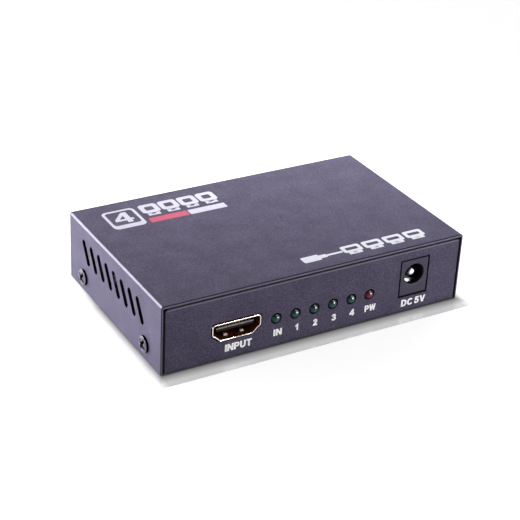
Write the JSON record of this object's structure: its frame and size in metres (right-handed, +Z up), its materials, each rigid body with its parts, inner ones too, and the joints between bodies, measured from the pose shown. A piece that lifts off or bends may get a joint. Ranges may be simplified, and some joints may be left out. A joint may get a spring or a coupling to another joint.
{
  "type": "hdmi splitter",
  "caption": "Flat folded-steel box with video sockets front and rear, a row of indicator lamps, slanted side vents and a barrel power jack; copies a video signal to several screens.",
  "frame": {"origin": "on the standing surface, under the middle of the case", "axes": "+X to the right along the front panel, -Y out of the front panel, +Z up"},
  "size_m": [0.0982, 0.0603, 0.021],
  "materials": {
    "case_paint": "fine satin powder coat",
    "black_screw": "black oxide",
    "socket_shell": "pale gold-toned plating",
    "contact_gold": "gold plated",
    "black_plastic": "moulded, satin",
    "tinned_metal": "tin plated",
    "board": "solder resist",
    "capacitor_can": "bare",
    "ceramic": "fired ceramic",
    "lamp_green": "clear tinted, unlit",
    "lamp_red": "clear tinted, unlit"
  },
  "bodies": {
    "case": {"base_tray": "case_paint", "board_screws": "tinned_metal", "board_standoffs": "tinned_metal", "capacitor_bases": "black_plastic", "capacitor_cans": "capacitor_can", "case_screws": "black_screw", "chip_capacitors": "ceramic", "chip_resistors": "black_plastic", "circuit_board": "board", "crystal": "tinned_metal", "input_contacts": "contact_gold", "input_insulator": "black_plastic", "input_shell": "socket_shell", "jack_housing": "black_plastic", "jack_leaf_terminal": "tinned_metal", "jack_pin": "tinned_metal", "jack_pin_terminal": "tinned_metal", "jack_switch_blade": "tinned_metal", "lamp_1": "lamp_green", "lamp_2": "lamp_green", "lamp_3": "lamp_green", "lamp_4": "lamp_green", "lamp_input": "lamp_green", "lamp_leads_1": "tinned_metal", "lamp_leads_2": "tinned_metal", "lamp_leads_3": "tinned_metal", "lamp_leads_4": "tinned_metal", "lamp_leads_input": "tinned_metal", "lamp_leads_power": "tinned_metal", "lamp_power": "lamp_red", "memory_chip": "black_plastic", "memory_chip_pins": "tinned_metal", "output_contacts_1": "contact_gold", "output_contacts_2": "contact_gold", "output_contacts_3": "contact_gold", "output_contacts_4": "contact_gold", "output_insulator_1": "black_plastic", "output_insulator_2": "black_plastic", "output_insulator_3": "black_plastic", "output_insulator_4": "black_plastic", "output_shell_1": "socket_shell", "output_shell_2": "socket_shell", "output_shell_3": "socket_shell", "output_shell_4": "socket_shell", "regulator_leads": "tinned_metal", "regulators": "black_plastic", "splitter_chip": "black_plastic", "splitter_chip_pins": "tinned_metal", "top_cover": "case_paint"},
    "contact_leaf": {"jack_leaf": "tinned_metal"}
  },
  "joints": [
    {"name": "contact_leaf_flex", "type": "hinge", "parent": "case", "child": "contact_leaf", "pos_m": [0.0321, -0.01925, 0.0071], "axis": [1, 0, 0], "range_deg": [0, 5], "stiffness_Nm_per_rad": 0.2}
  ]
}
